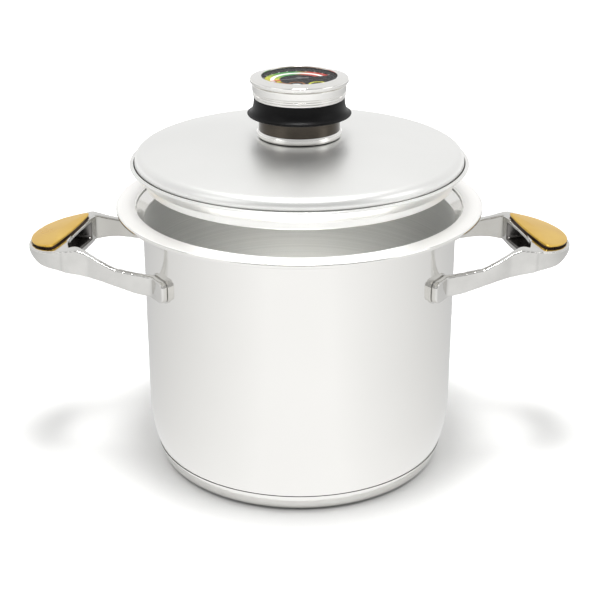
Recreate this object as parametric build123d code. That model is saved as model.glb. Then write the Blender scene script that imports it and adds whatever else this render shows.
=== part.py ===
from build123d import *
import math
import os

# A deep stainless cooking pot with a lift-off lid, a temperature-gauge knob and two cast side
# handles. Millimetres, +Z up, origin at the centre of the base where it meets the hob. The handles
# point along +X and -X, and the gauge is read from the -Y side.

# Pot: one deep-drawn shell with a flat pouring flange, on a bonded heat-spreading base.
pot_height = 176.6
pot_radius = 101.0
pot_wall = 0.8
flange_overhang = 16.5
flange_lip = 2.6
flange_thickness = 1.2
seat_flare = 4.8
seat_edge = 1.0
seat_lip_depth = 2.6
seat_depth = 9.5
neck_below_flange = 12.0
base_height = 13.4
base_tilt = 16.8
body_curve_rise = 28.6
shell_corner = 10.5
base_floor_wall = 0.8
base_corner = 7.0
base_straight = 8.4
seam_gap = 0.9
core_below_seam = 1.6

# Lid: a shallow dome pressed onto a hollow ring that drops into the pot's seat.
lid_hover = 26.5
plug_clearance = 0.8
shoulder_clearance = 0.6
ring_overlap = 1.9
ring_flange_thickness = 1.3
ring_plug_top = 7.8
ring_depth = 12.5
ring_taper = 0.8
ring_width = 5.0
ring_wall = 0.9
dome_setback = 3.1
dome_height = 16.5
dome_edge_height = 2.4
dome_roll = 5.7
dome_wall = 0.9
dome_clearance = 0.6
crease_height = 1.0

# Stud through the lid's centre, with its seal.
stud_radius = 4.0
stud_head_radius = 11.0
stud_head_height = 3.0
stud_reach = 15.0
seal_radius = 9.0
seal_thickness = 1.2

# Knob and temperature gauge. Heights are counted from the foot ring's bottom face.
running_gap = 0.05
body_gap = 0.3
foot_overhang = 1.3
foot_height = 4.6
neck_radius = 25.7
neck_wall = 1.5
neck_height = 11.3
neck_floor = 2.5
bush_wall = 4.0
bush_flange_width = 2.5
bush_flange_height = 2.0
bush_height = 16.5
guard_flare = 4.2
guard_height = 10.6
guard_rim = 0.9
guard_hollow = 3.7
guard_inset = 0.9
guard_curve = (0.27, 0.43)
case_radius = 29.5
case_groove_depth = 1.0
case_wall = 1.8
case_height = 9.9
case_floor = 2.0
bezel_overhang = 1.4
bezel_height = 2.9
bezel_rise = 1.3
bezel_width = 7.1
glass_overlap = 1.6
glass_thickness = 0.8
glass_lip = 0.7
dial_thickness = 0.6
dial_drop = 1.5
gasket_width = 1.0
spindle_radius = 0.8
pointer_clearance = 4.8
pointer_tail = 6.0
pointer_thickness = 0.4
pointer_lift = 0.5
pointer_hub_radius = 2.2
pointer_rest_angle = 200.0
coil_inner_radius = 2.6
coil_outer_radius = 15.0
coil_turns = 4.5
coil_strip = 0.5
coil_width = 3.5
coil_lift = 1.6
coil_points = 73
post_radius = 1.2

# Side handles, drawn for the +X side and mirrored to the other. A reach is counted outwards from
# the pot's wall, and a rise upwards from the foot pad's lower edge. The arm's two side edges are
# (reach, rise, fillet), the top one with its rise from the foot pad's top.
handle_drop = 47.6
foot_pad_height = 14.0
foot_pad_thickness = 4.2
foot_pad_start_angle = 26.5
foot_pad_end_angle = 37.2
foot_pad_round = 4.0
weld_thickness = 1.0
weld_margin = 0.9
arm_thickness = 4.8
arm_foot_angle = 30.5
arm_elbow = (21.0, 42.8)
arm_shoulder = (44.0, 30.5)
arm_top_edge = [(-24.0, -0.8, 0), (-3.0, 0.6, 12), (15.0, 2.2, 14)]
arm_low_edge = [(22.0, 5.2, 14), (-3.0, 1.4, 14), (-24.0, 0.0, 0)]
arm_overrun = 0.15
arm_bend = 60.0
arm_blend = 10.0
grip_reach = 54.4
grip_half_width = 36.5
grip_nose = 20.0
grip_nose_round = 32.0
grip_inner_edge = [(35.0, 36.5), (43.6, 8.0), (47.0, -10.0), (41.0, -36.5)]
grip_rise = 23.7
grip_start = 39.0
grip_step_back = 5.0
grip_step = 2.5
grip_bend = 5.0
underside_start = 48.0
underside_bend = 12.0
nose_low_rise = 21.0
nose_low_back = 10.0
nose_low_bend = 9.0
grip_slope = 10.2
underside_rise = 7.2
underside_slope = 8.0
leaf_half_width = 29.5
leaf_out = 18.2
leaf_in = 9.5
leaf_shoulder = 7.5
leaf_corner = 4.0
leaf_turn = 17.0
leaf_shift = 2.2
recess_depth = 1.8
liner_rise = 0.9
liner_inset = 1.6
insert_thickness = 1.6
insert_crown = 1.0
lip_thickness = 2.6
pocket_half_width = 25.0
pocket_corner = 9.0
pocket_reach = 57.0
pocket_floor_rise = 11.0
cover_scale = 0.5
cover_thickness = 1.6
cover_sink = 0.8


def turned(*corners):
    """A solid of revolution about Z from corners of (radius, height) or (radius, height, fillet)."""
    points = [corner[:2] for corner in corners]
    fillets = [corner[2] if len(corner) > 2 else 0 for corner in corners]
    return revolve(Plane.XZ * make_face(FilletPolyline(*points, radius=fillets, close=True)), Axis.Z)


def turned_outline(*edges):
    """A solid of revolution about Z from a closed outline of edges drawn as (radius, height)."""
    return revolve(Plane.XZ * make_face(list(edges)), Axis.Z)


def rod(radius, low, high):
    """A plain round bar along Z between two heights."""
    return Pos(0, 0, low) * Cylinder(radius, high - low, align=(Align.CENTER, Align.CENTER, Align.MIN))


# Pot body. The side wall curves in below body_curve_top to the angle of the base's flank.
tilt = math.radians(base_tilt)
body_curve_top = base_height + body_curve_rise
flank_arc = (body_curve_top - base_height) / math.sin(tilt)
seam_radius = pot_radius - flank_arc * (1 - math.cos(tilt))
flange_radius = pot_radius + flange_overhang
flange_inner_radius = pot_radius + seat_flare
seat_top_radius = flange_inner_radius - seat_edge


def pot_outline(inset):
    """Half section of the pot's body below the flange, drawn inset from its outer face by a wall."""
    middle = tilt / 2
    curve = flank_arc - inset
    centre = pot_radius - flank_arc
    side_top = (pot_radius - inset, pot_height - neck_below_flange)
    side_low = (pot_radius - inset, body_curve_top)
    flank = (centre + curve * math.cos(tilt), body_curve_top - curve * math.sin(tilt))
    halfway = (centre + curve * math.cos(middle), body_curve_top - curve * math.sin(middle))
    corner = shell_corner - inset
    hub = (flank[0] - corner * math.cos(tilt), flank[1] + corner * math.sin(tilt))
    steep = (math.pi / 2 + tilt) / 2
    corner_middle = (hub[0] + corner * math.cos(steep), hub[1] - corner * math.sin(steep))
    corner_end = (hub[0], hub[1] - corner)
    return [
        Line((0, corner_end[1]), corner_end),
        ThreePointArc(corner_end, corner_middle, flank),
        ThreePointArc(flank, halfway, side_low),
        Line(side_low, side_top),
        Line(side_top, (0, side_top[1])),
        Line((0, side_top[1]), (0, corner_end[1])),
    ]


body_outside = turned_outline(*pot_outline(0))
body_inside = turned_outline(*pot_outline(pot_wall))
shoulder_outer = turned(
    (0, pot_height - neck_below_flange),
    (pot_radius, pot_height - neck_below_flange),
    (pot_radius, pot_height - seat_depth, 2),
    (seat_top_radius + flange_thickness, pot_height - seat_lip_depth - flange_thickness, 1),
    (seat_top_radius + flange_thickness, pot_height - flange_thickness, 0.5),
    (flange_radius - flange_thickness, pot_height - flange_thickness, 0.6),
    (flange_radius - flange_thickness, pot_height - flange_lip),
    (flange_radius, pot_height - flange_lip),
    (flange_radius, pot_height, 1.1),
    (0, pot_height),
)
shoulder_inner = turned(
    (0, pot_height - neck_below_flange - 1),
    (pot_radius - pot_wall, pot_height - neck_below_flange - 1),
    (pot_radius - pot_wall, pot_height - seat_depth, 2),
    (seat_top_radius, pot_height - seat_lip_depth, 1),
    (seat_top_radius, pot_height - seat_edge),
    (flange_inner_radius, pot_height),
    (flange_inner_radius, pot_height + 1),
    (0, pot_height + 1),
)
pot_shell = (body_outside + shoulder_outer) - body_inside - shoulder_inner

# Base: a steel capsule that holds an aluminium core against the shell's floor.
capsule_top_radius = seam_radius
capsule_low = base_height - base_straight
capsule_low_radius = capsule_top_radius - base_straight * math.tan(tilt)
capsule_foot_radius = capsule_low_radius - capsule_low * math.tan(tilt)


def capsule_solid(inset, top):
    """The base's outer form, inset by a wall, from its floor up to a height."""
    return turned(
        (0, inset),
        (capsule_foot_radius - inset, inset, max(base_corner - inset, 1)),
        (capsule_low_radius - inset, capsule_low),
        (capsule_top_radius - inset, top),
        (0, top),
    )


base_blank = capsule_solid(0, base_height - seam_gap)
capsule_hollow = capsule_solid(base_floor_wall, base_height + 1)
base_cap = base_blank - capsule_hollow - body_outside
base_core = (capsule_hollow - body_outside) & rod(pot_radius, 0, base_height - core_below_seam)

# Lid. The dome's cap and its rolled edge are tangent arcs.
lid_z = pot_height + lid_hover
ring_plug_radius = pot_radius - pot_wall - plug_clearance
ring_shoulder_radius = seat_top_radius - shoulder_clearance
ring_flange_radius = flange_inner_radius + ring_overlap
dome_radius = ring_flange_radius - dome_setback
roll_centre = (dome_radius - dome_roll, dome_edge_height)
drop = dome_edge_height - dome_height
dome_sphere = (roll_centre[0] ** 2 + drop**2 - dome_roll**2) / (-2 * drop - 2 * dome_roll)
sphere_z = dome_height - dome_sphere
join_angle = math.atan2(roll_centre[0], dome_edge_height - sphere_z)


def dome_height_at(radius, inset=0.0):
    """Height of the dome's cap above the lid's datum at a radius."""
    return sphere_z + math.sqrt((dome_sphere - inset) ** 2 - radius**2)


def dome_solid(inset):
    """The solid under the dome's face, inset by a wall."""
    roll = dome_roll - inset
    sphere = dome_sphere - inset
    join = (sphere * math.sin(join_angle), sphere_z + sphere * math.cos(join_angle))
    half = (sphere * math.sin(join_angle / 2), sphere_z + sphere * math.cos(join_angle / 2))
    turn = (join_angle + math.pi / 2) / 2
    roll_middle = (roll_centre[0] + roll * math.sin(turn), roll_centre[1] + roll * math.cos(turn))
    edge = (dome_radius - inset, dome_edge_height)
    foot = (dome_radius - inset, crease_height)
    return turned_outline(
        ThreePointArc((0, sphere_z + sphere), half, join),
        ThreePointArc(join, roll_middle, edge),
        Line(edge, foot),
        Line(foot, (0, crease_height)),
        Line((0, crease_height), (0, sphere_z + sphere)),
    )


dome_sheet = dome_solid(0) - dome_solid(dome_wall) - rod(stud_radius, 0, dome_height + 1)
lid_dome = Pos(0, 0, lid_z) * dome_sheet

ring_inner_radius = ring_plug_radius - ring_width
ring_top = dome_height_at(ring_inner_radius + ring_wall, dome_wall) - dome_clearance
ring_outer = turned(
    (ring_inner_radius, -ring_depth, 1.2),
    (ring_plug_radius - ring_taper, -ring_depth, 1.2),
    (ring_plug_radius, -ring_plug_top, 2.0),
    (ring_shoulder_radius, -ring_flange_thickness + crease_height - 0.6, 0.5),
    (ring_shoulder_radius, -ring_flange_thickness + crease_height),
    (ring_flange_radius, -ring_flange_thickness + crease_height, 0.5),
    (ring_flange_radius, crease_height, 0.6),
    (ring_inner_radius, crease_height),
)
ring_hollow = turned(
    (ring_inner_radius + ring_wall, -ring_depth + ring_wall),
    (ring_plug_radius - ring_taper - ring_wall, -ring_depth + ring_wall),
    (ring_plug_radius - ring_wall, -ring_plug_top),
    (ring_shoulder_radius - 1.6 * ring_wall, -ring_flange_thickness + crease_height),
    (ring_shoulder_radius - 1.6 * ring_wall, crease_height + 1),
    (ring_inner_radius + ring_wall, crease_height + 1),
)
ring_collar = turned(
    (ring_inner_radius, crease_height),
    (ring_inner_radius + ring_wall, crease_height),
    (ring_inner_radius + ring_wall, ring_top),
    (ring_inner_radius, ring_top),
)
lid_ring = Pos(0, 0, lid_z) * (ring_outer - ring_hollow + ring_collar)

# Stud: its head is the heat-sensing disc under the lid, and its shank carries the knob.
seal_top = lid_z + dome_height_at(seal_radius, dome_wall)
seal_washer = rod(seal_radius, seal_top - seal_thickness, seal_top) - rod(stud_radius, 0, lid_z + 50)
head_top = seal_top - seal_thickness
foot_radius = neck_radius + foot_overhang
knob_z = lid_z + dome_height_at(foot_radius - 1.0) + body_gap
lid_stud = rod(stud_radius, head_top, knob_z + stud_reach) + rod(
    stud_head_radius, head_top - stud_head_height, head_top
)
lid_stud = chamfer(lid_stud.edges().sort_by(Axis.Z)[-1], 0.6)

# Knob, built up from its foot.
neck_top = neck_floor + neck_height
bush_radius = stud_radius + bush_wall
bush_flange_radius = bush_radius + bush_flange_width
bush_seat = neck_floor + neck_wall
knob_foot_ring = turned(
    (neck_radius, 0.4),
    (foot_radius - 1.0, 0),
    (foot_radius, 1.4, 0.9),
    (foot_radius, foot_height - 1.4, 0.9),
    (foot_radius - 0.9, foot_height, 0.4),
    (neck_radius, foot_height),
)
knob_neck = turned(
    (bush_radius, neck_floor),
    (neck_radius, neck_floor),
    (neck_radius, neck_top),
    (neck_radius - neck_wall, neck_top),
    (neck_radius - neck_wall, neck_floor + neck_wall),
    (bush_radius, neck_floor + neck_wall),
)
knob_bush = turned(
    (stud_radius + running_gap, neck_floor - 1.0),
    (bush_radius, neck_floor - 1.0),
    (bush_radius, bush_seat),
    (bush_flange_radius, bush_seat),
    (bush_flange_radius, bush_seat + bush_flange_height, 0.6),
    (bush_radius, bush_seat + bush_flange_height),
    (bush_radius, bush_height, 0.8),
    (stud_radius + running_gap, bush_height),
)
guard_low = neck_top
guard_top = guard_low + guard_height
guard_top_radius = case_radius - guard_inset
guard_radius = guard_top_radius + guard_flare
guard_inner_radius = neck_radius - guard_hollow
flare_low = (guard_radius, guard_low + guard_rim)
flare_high = (guard_top_radius, guard_top)
flare_middle = (
    guard_top_radius + guard_curve[0] * guard_flare,
    guard_low + guard_curve[1] * guard_height,
)
finger_guard = turned_outline(
    Line((guard_inner_radius, guard_low), (guard_radius - guard_rim, guard_low)),
    ThreePointArc(
        (guard_radius - guard_rim, guard_low),
        (guard_radius - 0.3 * guard_rim, guard_low + 0.3 * guard_rim),
        flare_low,
    ),
    ThreePointArc(flare_low, flare_middle, flare_high),
    Line(flare_high, (guard_inner_radius, guard_top)),
    Line((guard_inner_radius, guard_top), (guard_inner_radius, guard_low)),
)
case_low = guard_top
case_top = case_low + case_height
case_groove_radius = case_radius - case_groove_depth
case_inner_radius = case_groove_radius - case_wall
spindle_hole = spindle_radius + running_gap
gauge_case = turned(
    (spindle_hole, case_low),
    (case_groove_radius - 0.4, case_low),
    (case_groove_radius, case_low + 0.5, 0.3),
    (case_groove_radius, case_low + 1.4),
    (case_groove_radius - 0.6, case_low + 1.7),
    (case_radius - 0.3, case_low + 2.2, 0.3),
    (case_radius - 0.3, case_low + 3.2, 0.3),
    (case_groove_radius, case_low + 3.6),
    (case_groove_radius, case_low + 4.3),
    (case_radius, case_low + 4.9, 0.4),
    (case_radius, case_top - 0.8, 0.4),
    (case_groove_radius, case_top - 0.4),
    (case_groove_radius, case_top),
    (case_inner_radius, case_top),
    (case_inner_radius, case_low + case_floor),
    (spindle_hole, case_low + case_floor),
)
bezel_radius = case_radius + bezel_overhang
window_radius = bezel_radius - bezel_width
bezel_edge = case_top + bezel_height
bezel_top = bezel_edge + bezel_rise
glass_radius = window_radius + glass_overlap
glass_top = bezel_top - glass_lip
glass_low = glass_top - glass_thickness
dial_top = glass_low - dial_drop
gasket_radius = glass_radius + gasket_width
gauge_bezel = turned(
    (gasket_radius, case_top),
    (case_groove_radius, case_top),
    (bezel_radius, case_top + 0.5, 0.5),
    (bezel_radius, bezel_edge, 0.9),
    (window_radius + 0.5, bezel_top, 0.3),
    (window_radius, bezel_top - 0.2),
    (window_radius, glass_top),
    (gasket_radius, glass_top),
)
dial_glass = rod(glass_radius, glass_low, glass_top)
glass_gasket = turned(
    (glass_radius - 1.0, dial_top),
    (gasket_radius, dial_top),
    (gasket_radius, glass_top),
    (glass_radius, glass_top),
    (glass_radius, glass_low),
    (glass_radius - 1.0, glass_low),
)
dial_plate = rod(gasket_radius - 0.1, dial_top - dial_thickness, dial_top) - rod(
    spindle_hole, dial_top - 5, dial_top + 5
)

# Temperature movement: a bimetal coil winds the spindle, and its outer end is held by a post.
coil_low = case_low + case_floor + coil_lift
coil_pitch = (coil_outer_radius - coil_inner_radius) / coil_turns


def spiral_points(offset):
    """Points of an even spiral from the coil's inner to its outer radius, moved out by an offset."""
    points = []
    for step in range(coil_points):
        share = step / (coil_points - 1)
        angle = 2 * math.pi * coil_turns * share
        radius = coil_inner_radius + coil_pitch * coil_turns * share + offset
        points.append((radius * math.cos(angle), radius * math.sin(angle)))
    return points


inside_edge = Spline(*spiral_points(0))
outside_edge = Spline(*spiral_points(coil_strip))
strip_face = make_face([
    inside_edge,
    outside_edge,
    Line(inside_edge @ 0, outside_edge @ 0),
    Line(inside_edge @ 1, outside_edge @ 1),
])
bimetal_coil = Pos(0, 0, coil_low) * extrude(strip_face, coil_width)
post_angle = 360 * (coil_turns % 1)
post_place = coil_outer_radius + coil_strip + post_radius
coil_post = Rot(0, 0, post_angle) * Pos(post_place, 0, 0) * rod(
    post_radius, case_low + case_floor, coil_low + coil_width + 0.5
)

pointer_low = dial_top + pointer_lift
pointer_length = window_radius - pointer_clearance
spindle_low = case_low + 0.4
pointer_spindle = rod(spindle_radius, spindle_low, pointer_low)
needle = make_face(Polyline(
    (-pointer_tail, -1.3), (-pointer_tail, 1.3), (0, 1.0), (pointer_length, 0.35), (pointer_length, -0.35),
    (0, -1.0), close=True,
))
pointer = Rot(0, 0, pointer_rest_angle) * Pos(0, 0, pointer_low) * (
    extrude(needle, pointer_thickness) + rod(pointer_hub_radius, 0, pointer_thickness + 0.3)
)

# Handle on the +X side. The grip's top is a plane that falls outwards, and so is its underside.
foot_low = pot_height - handle_drop
foot_high = foot_low + foot_pad_height
grip_centre = pot_radius + grip_reach
grip_top = foot_low + grip_rise
slope = math.radians(grip_slope)
top_plane = Plane(
    origin=(grip_centre, leaf_shift, grip_top),
    x_dir=(math.cos(slope), 0, -math.sin(slope)),
    z_dir=(math.sin(slope), 0, math.cos(slope)),
)
under_slope = math.radians(underside_slope)
under_plane = Plane(
    origin=(grip_centre, 0, foot_low + underside_rise),
    x_dir=(math.cos(under_slope), 0, math.sin(under_slope)),
    z_dir=(-math.sin(under_slope), 0, math.cos(under_slope)),
)


def top_at(reach):
    """Height of the grip's top plane at a reach from the pot's wall."""
    return grip_top - (reach - grip_reach) * math.tan(slope)


def under_at(reach):
    """Height of the grip's underside at a reach from the pot's wall."""
    return foot_low + underside_rise + (reach - grip_reach) * math.tan(under_slope)


def leaf(growth=0.0, scale=1.0):
    """The insert's outline, grown by an even margin: a bowed inner side and a round outer arc."""
    half_width = scale * leaf_half_width + growth
    shoulder = scale * leaf_shoulder + growth
    low, high = (-shoulder, -half_width), (-shoulder, half_width)
    face = make_face([
        ThreePointArc(low, (-scale * leaf_in - growth, 0), high),
        ThreePointArc(high, (scale * leaf_out + growth, 0), low),
    ])
    return Rot(0, 0, leaf_turn) * fillet(face.vertices(), scale * leaf_corner + growth)


def at_reach(points):
    """Plan or side points given as reaches from the wall, placed from the pot's axis."""
    return [(pot_radius + reach, other) for reach, other in points]


# The stirrup's plan: two bent arms and a half-round grip, cast as one.
wall_radius = pot_radius + weld_thickness
foot_angle = math.radians(arm_foot_angle)
foot_point = (wall_radius * math.cos(foot_angle), wall_radius * math.sin(foot_angle))
elbow, shoulder_point = at_reach([arm_elbow, arm_shoulder])
foot_start = tuple(foot + arm_overrun * (foot - bend) for foot, bend in zip(foot_point, elbow))
nose_reach = grip_reach + grip_nose
inner_back, inner_middle_back, inner_middle_front, inner_front = at_reach(grip_inner_edge)
grip_plan = make_face([
    Spline(inner_front, inner_middle_front, inner_middle_back, inner_back),
    FilletPolyline(
        inner_back,
        (pot_radius + nose_reach - 1.5, grip_half_width + 1.0),
        (pot_radius + nose_reach + 1.0, -grip_half_width),
        inner_front,
        radius=grip_nose_round,
    ),
])
plan_high = grip_top + 10  # clear of the grip above, and of the foot below
plan_depth = 50.0
stirrup_plan = grip_plan
for side in (1, -1):
    arm_line = FilletPolyline(
        *[(x, side * y) for x, y in (foot_start, elbow, shoulder_point)], radius=arm_bend
    )
    bend_fall = (elbow[1] - shoulder_point[1]) / (shoulder_point[0] - elbow[0])
    blend_start = (elbow[0] + arm_blend, elbow[1] - arm_blend * bend_fall + arm_thickness / 2)
    blend_end = (shoulder_point[0] + arm_blend / 2, grip_half_width)
    gusset = make_face(Polyline(
        *[(x, side * y) for x, y in (blend_start, blend_end, shoulder_point)], close=True
    ))
    stirrup_plan += trace(arm_line, line_width=arm_thickness) + gusset
stirrup = extrude(Pos(0, 0, plan_high - plan_depth) * stirrup_plan, plan_depth)

past_nose = nose_reach + 6
step_reach = grip_start - grip_step_back
nose_low = nose_reach - nose_low_back
side_profile = [
    *[(reach, foot_high + rise, bend) for reach, rise, bend in arm_top_edge],
    (step_reach, top_at(step_reach) - grip_step, grip_bend),
    (grip_start, top_at(grip_start), grip_bend),
    (past_nose, top_at(past_nose), 0),
    (past_nose, foot_low + nose_low_rise, 0),
    (nose_low, under_at(nose_low), nose_low_bend),
    (underside_start, under_at(underside_start), underside_bend),
    *[(reach, foot_low + rise, bend) for reach, rise, bend in arm_low_edge],
]
side_face = make_face(FilletPolyline(
    *at_reach([point[:2] for point in side_profile]),
    radius=[point[2] for point in side_profile],
    close=True,
))
handle_frame = (stirrup & extrude(Plane.XZ * side_face, 2 * pot_radius, both=True)) - rod(
    wall_radius, 0, pot_height
)


def pot_band(inner, outer, start, end, low, high, corner):
    """A block bent round the pot between two angles and two heights, with rounded ends."""
    ring = rod(outer, low, high) - rod(inner, low - 1, high + 1)
    width = 2 * outer * math.sin(math.radians((end - start) / 2))
    block = Box(2 * outer, width, high - low)
    block = fillet(block.edges().filter_by(Axis.X), corner)
    return ring & (Rot(0, 0, (start + end) / 2) * Pos(outer, 0, (low + high) / 2) * block)


foot_pad = pot_band(
    wall_radius,
    wall_radius + foot_pad_thickness,
    foot_pad_start_angle,
    foot_pad_end_angle,
    foot_low,
    foot_high,
    foot_pad_round,
)
margin_angle = math.degrees(weld_margin / pot_radius)
weld_pad = pot_band(
    pot_radius,
    wall_radius,
    foot_pad_start_angle - margin_angle,
    foot_pad_end_angle + margin_angle,
    foot_low - weld_margin,
    foot_high + weld_margin,
    foot_pad_round + weld_margin,
)
handle_frame += foot_pad + mirror(foot_pad, Plane.XZ)

# The grip is hollow between an upper and a lower lip, open towards the pot for the fingertips.
pocket_plan = make_face(FilletPolyline(
    (pot_radius + 20, -pocket_half_width),
    (pot_radius + pocket_reach, -pocket_half_width),
    (pot_radius + pocket_reach, pocket_half_width),
    (pot_radius + 20, pocket_half_width),
    radius=[0, pocket_corner, pocket_corner, 0],
    close=True,
))
ceiling = recess_depth + lip_thickness
pocket_side = make_face(Polyline(
    *at_reach([
        (20, foot_low + pocket_floor_rise - 1.5),
        (pocket_reach + 1, foot_low + pocket_floor_rise + 1.0),
        (pocket_reach + 1, top_at(pocket_reach + 1) - ceiling),
        (20, top_at(20) - ceiling),
    ]),
    close=True,
))
pocket = extrude(Pos(0, 0, plan_high - plan_depth) * pocket_plan, plan_depth) & extrude(
    Plane.XZ * pocket_side, grip_half_width * 2, both=True
)
recess = top_plane * (Pos(0, 0, -recess_depth) * extrude(leaf(), recess_depth + 5))
cover_seat = under_plane * (Pos(0, 0, -5) * extrude(leaf(0, cover_scale), 5 + cover_sink))
handle_frame = handle_frame - recess - pocket - cover_seat
handle_bottom_cover = under_plane * (
    Pos(0, 0, cover_sink - cover_thickness) * extrude(leaf(0, cover_scale), cover_thickness)
)
insert_liner = top_plane * (
    Pos(0, 0, -recess_depth) * extrude(leaf(-liner_inset), recess_depth + liner_rise)
)
insert_blank = extrude(leaf(), insert_thickness)
insert_crowned = fillet(insert_blank.faces().sort_by(Axis.Z)[-1].edges(), insert_crown)
handle_insert = top_plane * (Pos(0, 0, liner_rise) * insert_crowned)

parts = {
    "pot_shell": pot_shell,
    "base_core": base_core,
    "base_cap": base_cap,
    "lid_dome": lid_dome,
    "lid_ring": lid_ring,
    "lid_stud": lid_stud,
    "stud_seal": seal_washer,
    "pointer": Pos(0, 0, knob_z) * pointer,
    "pointer_spindle": Pos(0, 0, knob_z) * pointer_spindle,
}
knob_parts = {
    "knob_foot_ring": knob_foot_ring,
    "knob_neck": knob_neck,
    "knob_bush": knob_bush,
    "finger_guard": finger_guard,
    "gauge_case": gauge_case,
    "gauge_bezel": gauge_bezel,
    "dial_plate": dial_plate,
    "dial_glass": dial_glass,
    "glass_gasket": glass_gasket,
    "bimetal_coil": bimetal_coil,
    "coil_post": coil_post,
}
for name, piece in knob_parts.items():
    parts[name] = Pos(0, 0, knob_z) * piece
handle_parts = {
    "handle_frame": handle_frame,
    "handle_insert": handle_insert,
    "insert_liner": insert_liner,
    "handle_bottom_cover": handle_bottom_cover,
    "weld_pads": weld_pad + mirror(weld_pad, Plane.XZ),
}
for name, piece in handle_parts.items():
    parts["right_" + name] = piece
    parts["left_" + name] = mirror(piece, Plane.YZ)

os.makedirs("parts", exist_ok=True)
for name, piece in parts.items():
    export_step(piece, f"parts/{name}.step")
    print(name, round(piece.volume), piece.bounding_box().min, piece.bounding_box().max)
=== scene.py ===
import math

import bmesh
import bpy
import numpy as np
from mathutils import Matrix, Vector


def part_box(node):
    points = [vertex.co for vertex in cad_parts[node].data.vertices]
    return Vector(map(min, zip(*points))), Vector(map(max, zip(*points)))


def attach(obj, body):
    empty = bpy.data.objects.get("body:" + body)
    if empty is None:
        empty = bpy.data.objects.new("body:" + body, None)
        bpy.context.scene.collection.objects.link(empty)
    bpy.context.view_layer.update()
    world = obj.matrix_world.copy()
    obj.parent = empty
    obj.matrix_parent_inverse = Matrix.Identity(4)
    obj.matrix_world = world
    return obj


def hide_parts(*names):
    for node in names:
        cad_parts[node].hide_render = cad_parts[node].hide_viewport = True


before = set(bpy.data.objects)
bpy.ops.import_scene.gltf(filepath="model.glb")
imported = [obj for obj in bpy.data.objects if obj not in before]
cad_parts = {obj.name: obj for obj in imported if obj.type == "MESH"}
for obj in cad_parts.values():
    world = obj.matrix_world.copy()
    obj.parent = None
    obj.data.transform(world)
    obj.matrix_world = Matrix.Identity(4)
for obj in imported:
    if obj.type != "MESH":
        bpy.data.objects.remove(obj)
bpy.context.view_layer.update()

# A deep polished stainless cooking pot with a lift-off lid, a temperature gauge in the lid's knob
# and two cast stirrup handles with gilt inserts. Profiles are worked out in millimetres from the
# frame's own boxes, and turned to metres as each mesh is made.

MM = 0.001
FLANGE_OVERHANG = 16.5      # pot's flange beyond its wall
BEZEL_WIDTH = 7.1           # gauge's bezel, from its rim to the window
GRIP_REACH = 54.4           # grip's centre from the pot's wall
GRIP_TOP = 23.7             # grip's top above the casting's lowest point


def low(node):
    """Lowest corner of a CAD node, in millimetres."""
    return np.array(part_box(node)[0]) / MM


def high(node):
    """Highest corner of a CAD node, in millimetres."""
    return np.array(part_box(node)[1]) / MM


# ---------------------------------------------------------------- materials


def colour(hex_code):
    """An sRGB hex colour as linear RGBA."""
    parts = np.array([int(hex_code[i:i + 2], 16) for i in (1, 3, 5)]) / 255
    linear = np.where(parts <= 0.04045, parts / 12.92, ((parts + 0.055) / 1.055) ** 2.4)
    return (*linear.tolist(), 1.0)


def add(tree, kind, settings=None, **links):
    """Adds a node, sets its properties and sockets, and links sockets given as outputs."""
    made = tree.nodes.new(kind)
    for name, value in (settings or {}).items():
        if isinstance(name, int) or name in made.inputs:
            made.inputs[name].default_value = value
        else:
            setattr(made, name, value)
    for name, output in links.items():
        socket = made.inputs[int(name[1:]) if name[1:].isdigit() else name.replace("_", " ")]
        tree.links.new(output, socket)
    return made


def material(name, shader):
    """An empty material with a Principled shader of these constant settings."""
    made = bpy.data.materials.new(name)
    made.use_nodes = True
    tree = made.node_tree
    tree.nodes.clear()
    surface = add(tree, "ShaderNodeBsdfPrincipled", shader)
    output = add(tree, "ShaderNodeOutputMaterial")
    tree.links.new(surface.outputs[0], output.inputs["Surface"])
    return made, tree, surface


def ramp(tree, factor, stops):
    """A colour ramp of (place, hex) stops."""
    made = add(tree, "ShaderNodeValToRGB", None, Fac=factor)
    band = made.color_ramp
    while len(band.elements) < len(stops):
        band.elements.new(0.5)
    for element, (place, code) in zip(band.elements, stops):
        element.position = place
        element.color = colour(code)
    return made.outputs["Color"]


def drive(tree, surface, value, dark, light, rough, bump, depth=0.0001):
    """Lets a noise value set the colour and roughness, and lift a bump if asked. Most of a noise's
    values lie between its two ends here."""
    least, most = 0.3, 0.7
    tree.links.new(ramp(tree, value, [(least, dark), (most, light)]), surface.inputs["Base Color"])
    spread = add(
        tree, "ShaderNodeMapRange",
        {"From Min": least, "From Max": most, "To Min": rough[0], "To Max": rough[1]}, Value=value,
    )
    tree.links.new(spread.outputs[0], surface.inputs["Roughness"])
    if bump:
        raised = add(tree, "ShaderNodeBump", {"Strength": bump, "Distance": depth}, Height=value)
        tree.links.new(raised.outputs[0], surface.inputs["Normal"])


def varied(tree, surface, scale, dark, light, rough, stretch=(1, 1, 1), bump=0.0, depth=0.0001):
    """Noise at a scale per metre that varies the colour and roughness, and lifts a bump if asked."""
    place = add(tree, "ShaderNodeTexCoord").outputs["Object"]
    stretched = add(tree, "ShaderNodeMapping", {"Scale": stretch}, Vector=place).outputs[0]
    noise = add(tree, "ShaderNodeTexNoise", {"Scale": scale, "Detail": 3}, Vector=stretched)
    drive(tree, surface, noise.outputs["Fac"], dark, light, rough, bump, depth)


def from_axis(tree):
    """The object's coordinates split into X, Y and Z, and their distance from the Z axis."""
    place = add(tree, "ShaderNodeTexCoord").outputs["Object"]
    split = add(tree, "ShaderNodeSeparateXYZ", None, Vector=place)
    flat = add(tree, "ShaderNodeCombineXYZ", None, X=split.outputs["X"], Y=split.outputs["Y"])
    radius = add(tree, "ShaderNodeVectorMath", {"operation": "LENGTH"}, _0=flat.outputs[0])
    return split, radius.outputs["Value"]


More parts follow.
